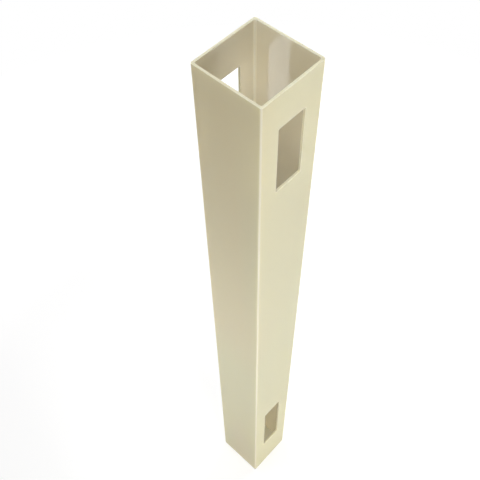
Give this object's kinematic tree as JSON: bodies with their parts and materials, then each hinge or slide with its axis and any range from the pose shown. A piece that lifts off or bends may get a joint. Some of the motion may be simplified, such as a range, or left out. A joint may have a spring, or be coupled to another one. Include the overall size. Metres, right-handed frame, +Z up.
{
  "type": "fence line post",
  "caption": "Hollow square vinyl line post for a fence, open at each end, with rail slots routed through opposite walls near the top and near the foot.",
  "frame": {"origin": "centre of the sawn lower end, on the plane that the post stands on", "axes": "+Z up along the post; X along the fence line, through the slotted walls; Y across the fence, through the plain walls"},
  "size_m": [0.1016, 0.1016, 1.2192],
  "materials": {
    "vinyl": "semi-gloss almond PVC"
  },
  "bodies": {
    "root": {"line_post": "vinyl"}
  },
  "joints": []
}
